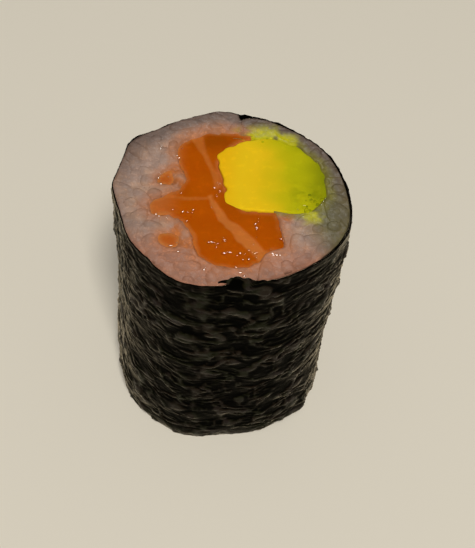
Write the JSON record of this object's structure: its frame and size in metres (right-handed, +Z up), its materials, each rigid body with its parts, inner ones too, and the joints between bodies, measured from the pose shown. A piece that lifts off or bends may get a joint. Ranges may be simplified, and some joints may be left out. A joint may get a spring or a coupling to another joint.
{
  "type": "hosomaki",
  "caption": "Short cut piece of a thin sushi roll standing on its cut face, seaweed round rice with salmon and avocado.",
  "frame": {"origin": "middle of the footprint, on the surface the roll stands on", "axes": "+Z up along the roll's axis, -Y towards the outer end of the seaweed sheet, +X to its right, over the doubled wall"},
  "size_m": [0.0252, 0.0256, 0.0283],
  "materials": {
    "seaweed": "near-black damp seaweed with an olive cast, satin gloss, fine wrinkles round the wall",
    "cooked_rice": "translucent grey-mauve sticky rice with small wet glints",
    "avocado_flesh": "soft buttery yellow flesh turning green towards the rind side",
    "raw_salmon": "moist orange fish with pale fat lines"
  },
  "bodies": {
    "root": {"nori": "seaweed", "rice": "cooked_rice", "avocado": "avocado_flesh", "salmon": "raw_salmon", "salmon_scrap_left": "raw_salmon", "salmon_scrap_front": "raw_salmon"}
  },
  "joints": []
}
